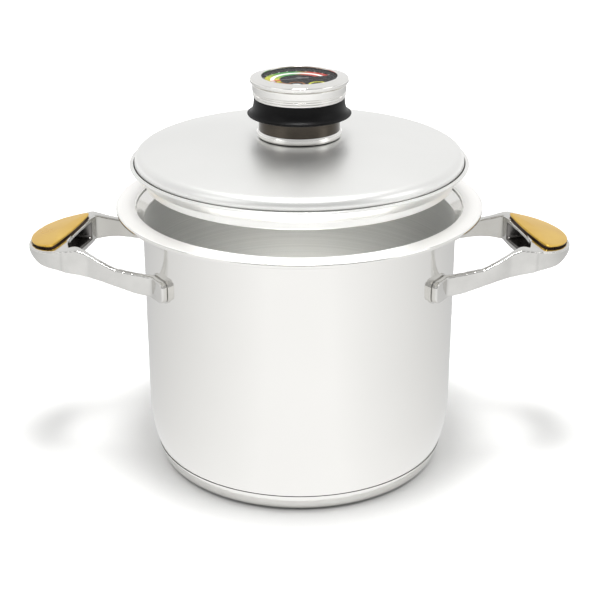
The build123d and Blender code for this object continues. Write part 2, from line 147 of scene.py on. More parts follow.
def rings(tree, surface, scale, dark, light, rough, bump):
    """Fine noise drawn out round Z: it is read from (radius, height), so each ring is a circle."""
    split, radius = from_axis(tree)
    polar = add(tree, "ShaderNodeCombineXYZ", None, X=radius, Y=split.outputs["Z"])
    noise = add(
        tree, "ShaderNodeTexNoise", {"Scale": scale, "Detail": 2, "Roughness": 0.6},
        Vector=polar.outputs[0],
    )
    drive(tree, surface, noise.outputs["Fac"], dark, light, rough, bump)


def polished_steel():
    """18/10 stainless, buffed: near-mirror, with the faint cloudiness that buffing leaves."""
    made, tree, surface = material("buffed_stainless", {"Metallic": 1.0})
    varied(tree, surface, 9, "#ECEBE8", "#EFEEEB", (0.1, 0.12))
    return made


def satin_dome():
    """Stainless spun dome, finished with a fine mop: silky, so that reflections spread softly."""
    made, tree, surface = material("silk_polished_stainless", {"Metallic": 1.0})
    varied(tree, surface, 12, "#EEEEEC", "#F1F1EF", (0.36, 0.4))
    return made


def shaded_neck_steel():
    """Stainless neck of the knob, brown-grey with painted shade from the guard above, half bright."""
    made, tree, surface = material("neck_stainless_painted_shade", {"Metallic": 1.0})
    varied(tree, surface, 60, "#4A453F", "#57514A", (0.14, 0.22))
    return made


def painted_shade_steel():
    """Dull brown-black steel for painted shade: the lid's crease, the base's seam, its contact shadow.
    """
    made, tree, surface = material("steel_painted_shade", {"Metallic": 1.0})
    varied(tree, surface, 200, "#1D1B19", "#2A2725", (0.5, 0.65), bump=0.1)
    return made


def satin_flange():
    """Stainless rim left satin by a flap wheel: fine rings round the axis, bright and even."""
    made, tree, surface = material("satin_stainless", {"Metallic": 1.0})
    rings(tree, surface, 4200, "#F4F3F1", "#F9F8F6", (0.5, 0.56), 0.02)
    return made


def brushed_inside():
    """Stainless brushed on the lathe inside the pot: rings about 0.3 mm apart, darker and duller."""
    made, tree, surface = material("lathe_brushed_stainless", {"Metallic": 1.0, "Anisotropic": 0.6})
    rings(tree, surface, 3300, "#BCBCBA", "#CDCDCB", (0.3, 0.38), 0.03)
    return made


def cast_steel():
    """Investment-cast stainless, tumbled and polished: soft highlights over very slight ripples."""
    made, tree, surface = material("polished_casting", {"Metallic": 1.0})
    varied(tree, surface, 60, "#D2D1CE", "#DCDBD8", (0.09, 0.14), bump=0.05, depth=0.0004)
    return made


def hollow_casting_painted_shade():
    """The same casting inside its hollow: painted shade makes it darker, and it is duller where the
    wheel doesn't reach.
    """
    made, tree, surface = material("tumbled_hollow_painted_shade", {"Metallic": 1.0})
    varied(tree, surface, 90, "#6A6866", "#7C7A78", (0.14, 0.24), bump=0.1, depth=0.0003)
    return made


def gold_plate():
    """Hard gold plate over a satin blank: warm, with a soft broad highlight."""
    made, tree, surface = material("gold_plate", {"Metallic": 1.0})
    varied(tree, surface, 45, "#E3B64E", "#EDC766", (0.26, 0.36), bump=0.04)
    return made


def ribbed_plastic():
    """Dark brown glass-filled nylon that the insert clips onto: matt, with a mould's fine grain."""
    made, tree, surface = material("brown_nylon", {"IOR": 1.53})
    varied(tree, surface, 900, "#2A1A0C", "#4A3118", (0.45, 0.6), bump=0.2)
    return made


def black_phenolic():
    """Compression-moulded phenolic: near black, satin, and a fine pitted grain under 1 mm."""
    made, tree, surface = material("black_phenolic", {"IOR": 1.6, "Specular IOR Level": 0.1})
    varied(tree, surface, 1400, "#040404", "#0B0B0C", (0.34, 0.46), bump=0.12)
    return made


def black_silicone():
    """Moulded silicone rubber: black and matt."""
    made, tree, surface = material("black_silicone", {"IOR": 1.41})
    varied(tree, surface, 900, "#121213", "#1D1D1E", (0.6, 0.75), bump=0.1)
    return made


def turned_brass():
    """Brass turned on a lathe: yellow, with fine rings from the tool."""
    made, tree, surface = material("turned_brass", {"Metallic": 1.0})
    rings(tree, surface, 3000, "#B08A45", "#CBA65C", (0.2, 0.34), 0.1)
    return made


def rolled_strip():
    """Cold-rolled bimetal spring strip: grey-brown with a rolled grain."""
    made, tree, surface = material("rolled_bimetal", {"Metallic": 1.0})
    varied(tree, surface, 700, "#86786A", "#A09182", (0.28, 0.42), stretch=(1, 1, 0.1))
    return made


def core_aluminium():
    """Bare pressed aluminium of the heat-spreading core."""
    made, tree, surface = material("pressed_aluminium", {"Metallic": 1.0})
    varied(tree, surface, 300, "#B9BABC", "#CDCED0", (0.35, 0.5), bump=0.1)
    return made


def clear_glass():
    """Toughened flat pane: clear, with a sharp reflection."""
    return material("clear_pane", {
        "Base Color": colour("#FFFFFF"), "Roughness": 0.03, "IOR": 1.45,
        "Specular IOR Level": 0.25, "Alpha": 0.03,
    })[0]


def dial_card():
    """Matt black printed card, with very faint rays pressed into it from the centre."""
    ray_count = 72
    made, tree, surface = material(
        "black_dial_card", {"IOR": 1.45, "Specular IOR Level": 0.0, "Roughness": 0.8}
    )
    place = add(tree, "ShaderNodeTexCoord").outputs["Object"]
    around = add(tree, "ShaderNodeTexGradient", {"gradient_type": "RADIAL"}, Vector=place)
    wave = waves(tree, around.outputs["Fac"], ray_count)
    spread = add(tree, "ShaderNodeMapRange", {"From Min": -1.0, "From Max": 1.0}, Value=wave)
    rays = ramp(tree, spread.outputs[0], [(0.0, "#040405"), (1.0, "#0D0D10")])
    tree.links.new(rays, surface.inputs["Base Color"])
    return made


def waves(tree, value, count):
    """A sine from -1 to 1 that runs through this many waves as a value goes from 0 to 1."""
    many = add(tree, "ShaderNodeMath", {"operation": "MULTIPLY", 1: 2 * math.pi * count}, _0=value)
    return add(tree, "ShaderNodeMath", {"operation": "SINE"}, _0=many.outputs[0]).outputs[0]


def tipped_lacquer():
    """Black lacquer on the pointer, with its last few millimetres dipped in orange."""
    made, tree, surface = material("tipped_lacquer", {"Roughness": 0.4})
    tip_start = 0.0125
    radius = from_axis(tree)[1]
    tip = add(tree, "ShaderNodeMath", {"operation": "GREATER_THAN", 1: tip_start}, _0=radius)
    coat = ramp(tree, tip.outputs[0], [(0.0, "#101012"), (1.0, "#D9572A")])
    tree.links.new(coat, surface.inputs["Base Color"])
    return made


def printed(name, stops, dashes=0):
    """Screen-printed ink that runs through these colours along the piece's own u. With dashes, the
    black card shows between that many short strokes."""
    made, tree, surface = material(name, {"IOR": 1.45, "Specular IOR Level": 0.05})
    place = add(tree, "ShaderNodeUVMap", {"uv_map": "along"}).outputs["UV"]
    split = add(tree, "ShaderNodeSeparateXYZ", None, Vector=place)
    spot = add(tree, "ShaderNodeTexCoord").outputs["Object"]
    grain = add(tree, "ShaderNodeTexNoise", {"Scale": 2500, "Detail": 2}, Vector=spot).outputs["Fac"]
    ink = ramp(tree, split.outputs["X"], stops)
    if dashes:
        gap_level = -0.45
        wave = waves(tree, split.outputs["X"], dashes)
        gap = add(tree, "ShaderNodeMath", {"operation": "LESS_THAN", 1: gap_level}, _0=wave)
        mixed = add(tree, "ShaderNodeMix", {"data_type": "RGBA"}, Factor=gap.outputs[0])
        first, second, result = 6, 7, 2         # the colour sockets of a Mix node
        tree.links.new(ink, mixed.inputs[first])
        mixed.inputs[second].default_value = colour("#0B0B0D")
        ink = mixed.outputs[result]
    tree.links.new(ink, surface.inputs["Base Color"])
    spread = add(tree, "ShaderNodeMapRange", {"To Min": 0.4, "To Max": 0.6}, Value=grain)
    tree.links.new(spread.outputs[0], surface.inputs["Roughness"])
    return made


STEEL = polished_steel()
DOME = satin_dome()
SHADED_NECK = shaded_neck_steel()
PAINTED_SHADE = painted_shade_steel()
FLANGE = satin_flange()
INSIDE = brushed_inside()
CAST = cast_steel()
SHADED_HOLLOW = hollow_casting_painted_shade()
GOLD = gold_plate()
LINER = ribbed_plastic()
PHENOLIC = black_phenolic()
SILICONE = black_silicone()
BRASS = turned_brass()
STRIP = rolled_strip()
ALUMINIUM = core_aluminium()
PANE = clear_glass()
CARD = dial_card()

# ---------------------------------------------------------------- mesh making


def arc(centre, radius, start, end, count=24):
    """Points of a circular arc in (radius, height), between two angles in degrees from +radius."""
    turn = np.radians(np.linspace(start, end, count))
    return np.stack([centre[0] + radius * np.cos(turn), centre[1] + radius * np.sin(turn)], 1)


def rounded(corners, steps=7):
    """An outline of (radius, height, fillet) corners as points. A fillet's arc touches both of its
    sides, at fillet * tan(half the turn) from the corner, and is sampled evenly."""
    corners = [(*corner, 0.0)[:3] for corner in corners]
    points = []
    for index, (x, z, fillet) in enumerate(corners):
        here = np.array([x, z], float)
        before = np.array(corners[index - 1][:2], float) - here
        after = np.array(corners[(index + 1) % len(corners)][:2], float) - here
        if not fillet:
            points.append(here[None])
            continue
        arms = before / np.linalg.norm(before), after / np.linalg.norm(after)
        half = math.acos(np.clip(arms[0] @ arms[1], -1, 1)) / 2
        reach = fillet / math.tan(half)
        bisector = (arms[0] + arms[1]) / np.linalg.norm(arms[0] + arms[1])
        centre = here + bisector * fillet / math.sin(half)
        first, last = here + arms[0] * reach - centre, here + arms[1] * reach - centre
        share = np.linspace(0, 1, steps)[:, None]
        blend = first * (1 - share) + last * share
        points.append(centre + blend / np.linalg.norm(blend, axis=1, keepdims=True) * fillet)
    return np.concatenate(points)


def mesh_object(name, vertices, faces, materials, indices=None, sharp=32.0):
    """A merged, outward-facing, smooth-shaded mesh object from points in millimetres."""
    mesh = bpy.data.meshes.new(name)
    mesh.from_pydata((np.asarray(vertices) * MM).tolist(), [], [list(face) for face in faces])
    for item in materials:
        mesh.materials.append(item)
    if indices is not None:
        mesh.polygons.foreach_set("material_index", np.asarray(indices, np.int32))
    made = bpy.data.objects.new(name, mesh)
    bpy.context.scene.collection.objects.link(made)
    tidy(made, sharp)
    return made


def tidy(piece, sharp):
    """Merges doubles, turns faces outwards and marks edges sharper than an angle."""
    work = bmesh.new()
    work.from_mesh(piece.data)
    bmesh.ops.remove_doubles(work, verts=work.verts, dist=1e-7)
    bmesh.ops.recalc_face_normals(work, faces=work.faces)
    work.to_mesh(piece.data)
    work.free()
    piece.data.polygons.foreach_set("use_smooth", np.ones(len(piece.data.polygons), bool))
    piece.data.set_sharp_from_angle(angle=math.radians(sharp))


def grid_faces(rows, columns):
    """Quads of a grid of points that closes on itself both ways."""
    row, column = np.meshgrid(np.arange(rows), np.arange(columns), indexing="ij")
    below, beside = (row + 1) % rows, (column + 1) % columns
    corners = (row, column), (row, beside), (below, beside), (below, column)
    return np.stack([r * columns + c for r, c in corners], -1).reshape(-1, 4)


def turned(name, outline, body, node, materials, finish=None, segments=224):
    """A closed outline of (radius, height) points turned about Z: x = r cos t, y = r sin t.
    finish gives the material index of each stretch of the outline from its middle point."""
    turn = np.linspace(0, 2 * np.pi, segments, endpoint=False)
    radius, height = outline[:, 0][:, None], outline[:, 1][:, None]
    points = np.stack([radius * np.cos(turn), radius * np.sin(turn), height + 0 * turn], -1)
    faces = grid_faces(len(outline), segments)
    indices = None
    if finish:
        middle = (outline + np.roll(outline, -1, axis=0)) / 2
        indices = np.repeat([finish(*point) for point in middle], segments)
    made = mesh_object(name, points.reshape(-1, 3), faces, materials, indices)
    return seat(made, body, node)


def seat(piece, body, node):
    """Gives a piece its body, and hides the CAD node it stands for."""
    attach(piece, body)
    if node:
        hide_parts(node)
    return piece


def paint(node, item):
    """Gives a CAD node that stays in view its material."""
    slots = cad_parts[node].material_slots
    if not slots:
        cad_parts[node].data.materials.append(None)
    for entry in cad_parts[node].material_slots:
        entry.link = "OBJECT"
        entry.material = item


# ---------------------------------------------------------------- pot


def pot():
    """The drawn body, its flange and seat, and the steel capsule of the base."""
    rim, flange = high("pot_shell")[2], high("pot_shell")[0]
    wall, skin = flange - FLANGE_OVERHANG, 0.8
    seam_lift, curve_rise, floor_bend = 0.9, 28.6, 10.5
    seat_step, mouth_step = 3.8, 4.8
    seam_height, seam = high("base_cap")[2] + seam_lift, high("base_cap")[0]
    curve_top = seam_height + curve_rise
    tilt = math.degrees(2 * math.atan((wall - seam) / (curve_top - seam_height)))
    flank = (curve_top - seam_height) / math.sin(math.radians(tilt))
    seat_radius, mouth = wall + seat_step, wall + mouth_step
    floor_hub = np.array([
        wall - flank + (flank - floor_bend) * math.cos(math.radians(tilt)),
        curve_top - (flank - floor_bend) * math.sin(math.radians(tilt)),
    ])

    def side(inset):
        """Wall from the floor's centre up to the neck, inset by the sheet's thickness."""
        return np.concatenate([
            [[0, floor_hub[1] - floor_bend + inset]],
            arc(floor_hub, floor_bend - inset, -90, -tilt, 10),
            arc((wall - flank, curve_top), flank - inset, -tilt, 0, 20)[1:],
        ])

    outer_top = rounded([
        (wall, rim - 12), (wall, rim - 9.5, 2), (seat_radius + 1.2, rim - 3.8, 1),
        (seat_radius + 1.2, rim - 1.2, 0.5), (flange - 1.2, rim - 1.2, 0.6), (flange - 1.2, rim - 2.6),
        (flange, rim - 2.6, 0.3), (flange, rim, 1.2), (mouth, rim, 0.4),
        (seat_radius, rim - 1.0, 0.4), (seat_radius, rim - 2.6, 1), (wall - skin, rim - 9.5, 2),
        (wall - skin, rim - 12),
    ])
    outline = np.concatenate([side(0), outer_top, side(skin)[::-1]])

    def finish(radius, height):
        """Satin on the flange's top, brushed inside below the seat, polished elsewhere."""
        if radius > mouth - 0.5 and height > rim - 0.5:
            return 1
        inner = radius < wall - skin + 0.05 and (height > floor_hub[1] or radius < floor_hub[0])
        above_floor = height > floor_hub[1] - floor_bend + skin / 2
        outside = radius > wall - skin / 2 and height < rim - 9
        return 2 if inner and above_floor and not outside and near_inside(radius, height) else 0

    def near_inside(radius, height):
        """True on the wall's inner face, which lies inset from the outer curve."""
        if height >= curve_top:
            return radius < wall - skin / 2
        return math.hypot(radius - (wall - flank), height - curve_top) < flank - skin / 2

    turned("pot_body", outline, "pot", "pot_shell", [STEEL, FLANGE, INSIDE], finish)

    lean = math.tan(math.radians(tilt))
    top = high("base_cap")[2]
    foot = seam - top * lean
    # The capsule's top rim and its lowest underside take painted shade: the seam's dark crevice and a
    # contact shadow.
    sheet, seam_shade_height, contact_shade_height = 0.8, 0.25, 1.1
    turned(
        "base_capsule",
        rounded([
            (0, 0), (foot, 0, 7.0), (seam, top, 0.3), (seam - sheet, top),
            (seam - sheet - (top - sheet) * lean, sheet, 6.2), (0, sheet),
        ]),
        "pot", "base_cap", [STEEL, PAINTED_SHADE],
        lambda radius, height: int(height > top - seam_shade_height or height < contact_shade_height),
    )


# ---------------------------------------------------------------- lid


def lid():
    """The dome with its rolled edge, and the hollow ring in two bands under it."""
    edge, crown = high("lid_dome")[0], high("lid_dome")[2]
    datum = low("lid_dome")[2] - 1.0
    roll, roll_height, skin, stud = 5.7, 2.4, 0.9, 4.0
    middle = np.array([edge - roll, datum + roll_height])
    drop = roll_height - (crown - datum)
    sphere = (middle[0] ** 2 + drop ** 2 - roll ** 2) / (-2 * drop - 2 * roll)
    centre = np.array([0, crown - sphere])
    join = math.degrees(math.atan2(middle[1] - centre[1], middle[0]))

    def shell(inset):
        """Dome's face from the stud hole out over the roll, inset by the sheet."""
        start = math.degrees(math.acos(stud / (sphere - inset)))
        return np.concatenate([
            arc(centre, sphere - inset, start, join, 48),
            arc(middle, roll - inset, join, 0, 16)[1:],
            [[edge - inset, datum + 1.0]],
        ])

    outline = np.concatenate([shell(0), shell(skin)[::-1]])
    turned("lid_dome_sheet", outline, "lid", "lid_dome", [DOME])

    flange, plug, inner = high("lid_ring")[0], edge - 5.2, edge - 10.2
    shoulder, wall, taper = edge - 0.4, 0.9, 0.8
    collar_top, crease = high("lid_ring")[2], shoulder - 1.5
    floor, floor_top, step, under, top = (datum + z for z in (-12.5, -11.6, -7.8, -0.3, 1.0))
    # The ring's top under the dome's roll takes painted shade, the crease's dark line.
    turned(
        "lid_seat_ring",
        rounded([
            (inner, floor, 1.2), (plug - taper, floor, 1.2), (plug, step, 2.0),
            (shoulder, datum - 0.9, 0.5), (shoulder, under), (flange, under, 0.5),
            (flange, top, 0.6), (edge + 0.8, top), (crease, top), (crease, under),
            (plug - wall, step), (plug - taper - wall, floor_top), (inner + wall, floor_top),
            (inner + wall, collar_top), (inner, collar_top),
        ]),
        "lid", "lid_ring", [DOME, PAINTED_SHADE],
        lambda radius, height: int(height > datum + 0.95 and crease < radius < edge + 0.8),
    )


# ---------------------------------------------------------------- knob and gauge


def knob():
    """The foot ring, neck, guard, grooved case and bezel, each turned from its own profile."""
    foot = high("knob_foot_ring")[0]
    datum = low("knob_foot_ring")[2]
    neck = high("knob_neck")[0]
    turned("neck_foot_ring", rounded([
        (neck, datum + 0.4), (foot - 1.0, datum, 0.4), (foot, datum + 1.4, 0.9),
        (foot, datum + 3.2, 0.9), (foot - 0.9, datum + 4.6, 0.4), (neck, datum + 4.6),
    ]), "knob", "knob_foot_ring", [STEEL])
    base, top = low("knob_neck")[2], high("knob_neck")[2]
    bore, cup_wall = 8.0, 1.5
    # The neck's dark colour is painted shade from the guard above it.
    turned("neck_cup", rounded([
        (bore, base), (neck, base), (neck, top), (neck - cup_wall, top),
        (neck - cup_wall, base + cup_wall), (bore, base + cup_wall),
    ]), "knob", "knob_neck", [SHADED_NECK])

    flare, base, top = high("finger_guard")[0], low("finger_guard")[2], high("finger_guard")[2]
    throat, rim, bore = high("gauge_case")[0] - 0.9, 0.9, neck - 3.7
    share = np.linspace(0, 1, 20)[:, None]
    start, end = np.array([flare, base + rim]), np.array([throat, top])
    pull = np.array([throat + 0.1, base + rim + 1.0])
    curve = (1 - share) ** 2 * start + 2 * share * (1 - share) * pull + share ** 2 * end
    turned("finger_guard_disc", np.concatenate([
        [[bore, base]], arc((flare - rim, base + rim), rim, -90, 0, 8), curve[1:], [[bore, top]],
    ]), "knob", "finger_guard", [PHENOLIC])

    case, base, top = high("gauge_case")[0], low("gauge_case")[2], high("gauge_case")[2]
    groove, post_hole, inside = case - 1.0, 0.85, base + 2.0
    turned("grooved_case", rounded([
        (post_hole, base), (groove - 0.4, base), (groove, base + 0.5, 0.3), (groove, base + 1.4, 0.1),
        (groove - 0.6, base + 1.7, 0.1), (case - 0.3, base + 2.2, 0.3), (case - 0.3, base + 3.2, 0.3),
        (groove, base + 3.6, 0.1), (groove, base + 4.3, 0.1), (case, base + 4.9, 0.4),
        (case, top - 0.8, 0.3), (groove, top - 0.4, 0.1), (groove, top), (groove - 1.8, top),
        (groove - 1.8, inside), (post_hole, inside),
    ]), "knob", "gauge_case", [STEEL])

    bezel, base, top = high("gauge_bezel")[0], low("gauge_bezel")[2], high("gauge_bezel")[2]
    window, ledge, pane_top = bezel - BEZEL_WIDTH, high("dial_glass")[0] + 1.0, high("dial_glass")[2]
    turned("sloped_bezel", rounded([
        (ledge, base), (groove, base), (bezel, base + 0.5, 0.5), (bezel, top - 1.3, 0.9),
        (window + 0.5, top, 0.3), (window, top - 0.2, 0.1), (window, pane_top), (ledge, pane_top),
    ]), "knob", "gauge_bezel", [STEEL])


def dial():
    """Printed scales on the gauge's card: flat bands of ink, each 0.04 mm thick."""
    card_radius, surface = high("gauge_bezel")[0] - BEZEL_WIDTH, high("dial_plate")[2]
    scale = [(0.0, "#E9D23A"), (0.22, "#C9CE35"), (0.42, "#4FA548"), (0.62, "#3C9A48"),
             (0.78, "#D2452C"), (1.0, "#C8321F")]
    white = [(0.0, "#F2F2EE"), (1.0, "#E6E6E2")]
    lime = [(0.0, "#D6CE35"), (1.0, "#9DB83A")]
    brown = [(0.0, "#8A5A34"), (1.0, "#74482A")]

    def band(name, inner, outer, start, end, stops, centre=(0.0, 0.0), count=96, dashes=0):
        """A ring sector between two radii (shares of the card) and two angles in degrees, its u
        running along it. Its four edges are carried round as a small closed section."""
        share = np.linspace(0, 1, count)
        turn = np.radians(start + (end - start) * share)
        inner, outer = inner * card_radius, outer * card_radius
        under, over = 0.02, 0.06        # the ink's lower and upper face above the card
        section = [(inner, under), (outer, under), (outer, over), (inner, over)]
        points = np.stack([
            np.stack([
                centre[0] * card_radius + radius * np.cos(turn),
                centre[1] * card_radius + radius * np.sin(turn),
                surface + lift + 0 * turn,
            ], -1)
            for radius, lift in section
        ], 1)
        closed = abs(abs(end - start) - 360) < 0.01
        faces = grid_faces(count, 4)[:-4].tolist()
        if not closed:
            faces += [[0, 1, 2, 3], [4 * count - back for back in (1, 2, 3, 4)]]
        ink = printed(name + "_ink", stops, dashes)
        made = mesh_object(name, points.reshape(-1, 3), faces, [ink])
        write_along(made, centre, card_radius, start, end)
        return seat(made, "knob", None)

    band("scale_outer", 0.77, 0.92, 204, 32, scale, dashes=48)
    band("scale_white", 0.66, 0.765, 202, 34, white)
    band("scale_inner", 0.53, 0.655, 212, 38, scale, dashes=44)
    band("scale_low", 0.77, 0.92, 208, 292, lime)
    band("scale_brown", 0.53, 0.62, 216, 252, brown)
    band("mark_warm", 0.67, 0.75, 205, 214, [(0.0, "#D9572A"), (1.0, "#C8321F")])
    band("pot_mark", 0.20, 0.26, 0, 360, lime, (0.50, -0.47))
    band("pan_mark", 0.17, 0.22, 0, 360, brown, (-0.065, -0.47))
    band("pot_mark_body", 0.0, 0.11, 180, 360, white, (0.50, -0.45), 24)
    band("pan_mark_body", 0.0, 0.10, 180, 360, white, (-0.065, -0.46), 24)
    first_tick, tick_step, half_tick = 200, 15, 0.7
    for index in range(12):
        angle = first_tick - index * tick_step
        band(f"tick_{index:02d}", 0.935, 0.975, angle + half_tick, angle - half_tick, white, count=4)
    paint("dial_plate", CARD)


def write_along(piece, centre, card_radius, start, end):
    """A UV map whose u is each corner's angle as a share of the band's sweep."""
    mesh = piece.data
    layer = mesh.uv_layers.new(name="along")
    places = np.zeros(len(mesh.vertices) * 3, np.float32)
    mesh.vertices.foreach_get("co", places)
    places = places.reshape(-1, 3)[:, :2] / MM - np.array(centre) * card_radius
    corners = np.zeros(len(mesh.loops), np.int32)
    mesh.loops.foreach_get("vertex_index", corners)
    angle = np.degrees(np.arctan2(places[:, 1], places[:, 0]))
    sweep = end - start
    share = ((angle - start) * np.sign(sweep) + 5) % 360 - 5
    uv = np.stack([np.clip(share / abs(sweep), 0, 1), np.full(len(share), 0.5)], 1)[corners]
    layer.data.foreach_set("uv", uv.astype(np.float32).ravel())


# ---------------------------------------------------------------- handles

LEAF_TURN, LEAF_SHIFT, GRIP_SLOPE = 17.0, 2.2, 10.2


def leaf_radius(angle, half_width, out, inner, corner=14.0):
    """The insert's outline as a distance from its centre at an angle. It is where a ray leaves both
    of two discs, the round outer arc and the slightly bowed inner side. The nearer exit is taken
    by a power mean, which rounds the two corners."""
    shoulder = 7.5
    exits = []
    for tip, sign in ((out, 1), (inner, -1)):
        rise = tip + sign * shoulder
        disc = (half_width ** 2 + rise ** 2) / (2 * rise)
        centre = sign * (tip - disc)
        along = centre * np.cos(angle)
        exits.append(along + np.sqrt(disc ** 2 - (centre * np.sin(angle)) ** 2))
    return (exits[0] ** -corner + exits[1] ** -corner) ** (-1 / corner)


def leaf_place(local, side, grip_centre, grip_top):
    """Leaf coordinates (out, along, up) placed on the grip's sloping top, mirrored for the left."""
    turn, slope = math.radians(LEAF_TURN), math.radians(GRIP_SLOPE)
    out = local[..., 0] * math.cos(turn) - local[..., 1] * math.sin(turn)
    along = local[..., 0] * math.sin(turn) + local[..., 1] * math.cos(turn)
    up = local[..., 2]
    x = grip_centre + out * math.cos(slope) + up * math.sin(slope)
    z = grip_top - out * math.sin(slope) + up * math.cos(slope)
    return np.stack([side * x, along + LEAF_SHIFT, z], -1)


def grip_place():
    """The grip's centre, as a distance from the pot's axis, and the height of its top there."""
    wall = high("pot_shell")[0] - FLANGE_OVERHANG
    return wall + GRIP_REACH, low("right_handle_frame")[2] + GRIP_TOP


def leaf_pieces(label, side):
    """The domed gold insert, and the ribbed liner whose edge shows as a dark gap under it."""
    grip_centre, grip_top = grip_place()
    angle = np.linspace(0, 2 * np.pi, 240, endpoint=False)
    edge = leaf_radius(angle, 29.5, 18.2, 9.5)
    share = np.array([
        0.0, 0.12, 0.25, 0.4, 0.55, 0.7, 0.82, 0.9, 0.95, 0.98, 0.995, 1.0, 1.0, 0.99, 0.96, 0.0,
    ])
    crown = 1.0 * (1 - share ** 2)
    lift = 1.5 + crown
    lift[8:12] -= [0.02, 0.1, 0.22, 0.42]
    lift[12:] = [0.55, 0.15, 0.0, 0.0]
    radius, gap = share[:, None] * edge, 0.9
    points = np.stack([
        radius * np.cos(angle), radius * np.sin(angle), gap + lift[:, None] + 0 * edge,
    ], -1)
    faces = grid_faces(len(share), len(angle))[:-len(angle)]
    placed = leaf_place(points, side, grip_centre, grip_top).reshape(-1, 3)
    insert = mesh_object(f"{label}_gilt_insert", placed, faces, [GOLD], sharp=50)
    seat(insert, "pot", f"{label}_handle_insert")

    fine = np.linspace(0, 2 * np.pi, 960, endpoint=False)
    rib_height, rib_count = 0.22, 80
    ribs = rib_height * np.sign(np.sin(rib_count * fine))
    edge = leaf_radius(fine, 27.9, 16.6, 7.9) + ribs
    share = np.array([0.0, 1.0, 1.0, 0.0])
    lift = np.array([-1.8, -1.8, 0.9, 0.9])
    radius = share[:, None] * edge
    points = np.stack([radius * np.cos(fine), radius * np.sin(fine), lift[:, None] + 0 * edge], -1)
    faces = grid_faces(len(share), len(fine))[:-len(fine)]
    placed = leaf_place(points, side, grip_centre, grip_top).reshape(-1, 3)
    liner = mesh_object(f"{label}_ribbed_liner", placed, faces, [LINER])
    seat(liner, "pot", f"{label}_insert_liner")


def softened(label, node, voxel, passes):
    """A copy of a cast piece with its edges worn round: it is remeshed in even voxels, and each
    point then moves towards its neighbours' mean, as tumbling and buffing round a casting."""
    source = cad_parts[node]
    piece = bpy.data.objects.new(label, source.data.copy())
    bpy.context.scene.collection.objects.link(piece)
    piece.data.materials.clear()
    piece.data.materials.append(CAST)
    tidy(piece, 180)
    remesh = piece.modifiers.new("even", "REMESH")
    remesh.mode = "VOXEL"
    remesh.voxel_size = voxel * MM
    smooth = piece.modifiers.new("worn", "SMOOTH")
    smooth.factor = 0.5
    smooth.iterations = passes
    baked = bpy.data.meshes.new_from_object(
        piece.evaluated_get(bpy.context.evaluated_depsgraph_get())
    )
    piece.modifiers.clear()
    piece.data = baked
    places = np.zeros(len(baked.vertices) * 3, np.float32)
    baked.vertices.foreach_get("co", places)
    middles = np.zeros(len(baked.polygons) * 3, np.float32)
    baked.polygons.foreach_get("center", middles)
    # The hollow's faces take a second material, whose darker colour is painted shade.
    baked.materials.append(SHADED_HOLLOW)
    pocket = in_pocket(middles.reshape(-1, 3) / MM)
    baked.polygons.foreach_set("material_index", pocket.astype(np.int32))
    risen = keeled(places.reshape(-1, 3) / MM)
    baked.vertices.foreach_set("co", risen.astype(np.float32).ravel() * MM)
    baked.polygons.foreach_set("use_smooth", np.ones(len(baked.polygons), bool))
    return seat(piece, "pot", node)


def in_pocket(points):
    """True for points on the hollow's own faces, between the grip's upper and lower lips."""
    grip_centre, grip_top = grip_place()
    reach = np.abs(points[:, 0]) - grip_centre
    roof, lip, back, front, half_width = 4.0, 9.2, -22, 3.6, 25.8
    ceiling = grip_top - reach * math.tan(math.radians(GRIP_SLOPE)) - roof
    floor = low("right_handle_frame")[2] + lip
    inside = (reach > back) & (reach < front) & (np.abs(points[:, 1]) < half_width)
    return inside & (points[:, 2] > floor) & (points[:, 2] < ceiling)


def keeled(points):
    """The grip's underside rounded up towards its rim like a boat's hull. A point rises by
    lift * (distance from the grip's middle / its half width)^3, less the nearer it is to the top,
    and the rise fades out along the arms."""
    grip_centre, grip_top = grip_place()
    reach = np.abs(points[:, 0])
    lift, half_width, depth, fade_start, fade_length = 6.0, 36.0, 19.0, 2.0, 50.0
    hull_back = 14                          # the hull's middle, back from the grip's centre
    spread = np.hypot(np.maximum(reach - grip_centre + hull_back, 0), points[:, 1]) / half_width
    sunk = np.clip((grip_top - 2 - points[:, 2]) / depth, 0, 1)
    fade = np.clip((reach - (grip_centre - GRIP_REACH) - fade_start) / fade_length, 0, 1)
    points[:, 2] += lift * np.clip(spread, 0, 1.0) ** 3 * sunk * fade
    return points


def handles():
    """Both stirrups: softened casting, gold insert, ribbed liner, bottom cover and pads."""
    voxel, passes = 0.55, 14
    for label, side in (("right", 1), ("left", -1)):
        softened(f"{label}_stirrup", f"{label}_handle_frame", voxel, passes)
        leaf_pieces(label, side)
        paint(f"{label}_handle_bottom_cover", CAST)
        paint(f"{label}_weld_pads", CAST)


# ---------------------------------------------------------------- all the pieces

pot()
lid()
knob()
dial()
handles()
for node, item in {
    "base_core": ALUMINIUM, "lid_stud": STEEL, "stud_seal": SILICONE, "knob_bush": BRASS,
    "glass_gasket": SILICONE, "bimetal_coil": STRIP, "coil_post": BRASS, "pointer_spindle": BRASS,
    "dial_glass": PANE,
}.items():
    paint(node, item)
paint("pointer", tipped_lacquer())

# ---------------------------------------------------------------- stage


def area_light(name, place, aim, size, power):
    """A square soft light at a place, facing an aim point, both in metres."""
    data = bpy.data.lights.new(name, "AREA")
    data.size, data.energy = size, power
    made = bpy.data.objects.new(name, data)
    made.location = place
    bpy.context.scene.collection.objects.link(made)
    direction = np.array(aim) - np.array(place)
    flat = math.hypot(direction[0], direction[1])
    tip, turn = math.atan2(flat, -direction[2]), math.atan2(-direction[0], direction[1])
    made.rotation_euler = (tip, 0, turn)
    return made


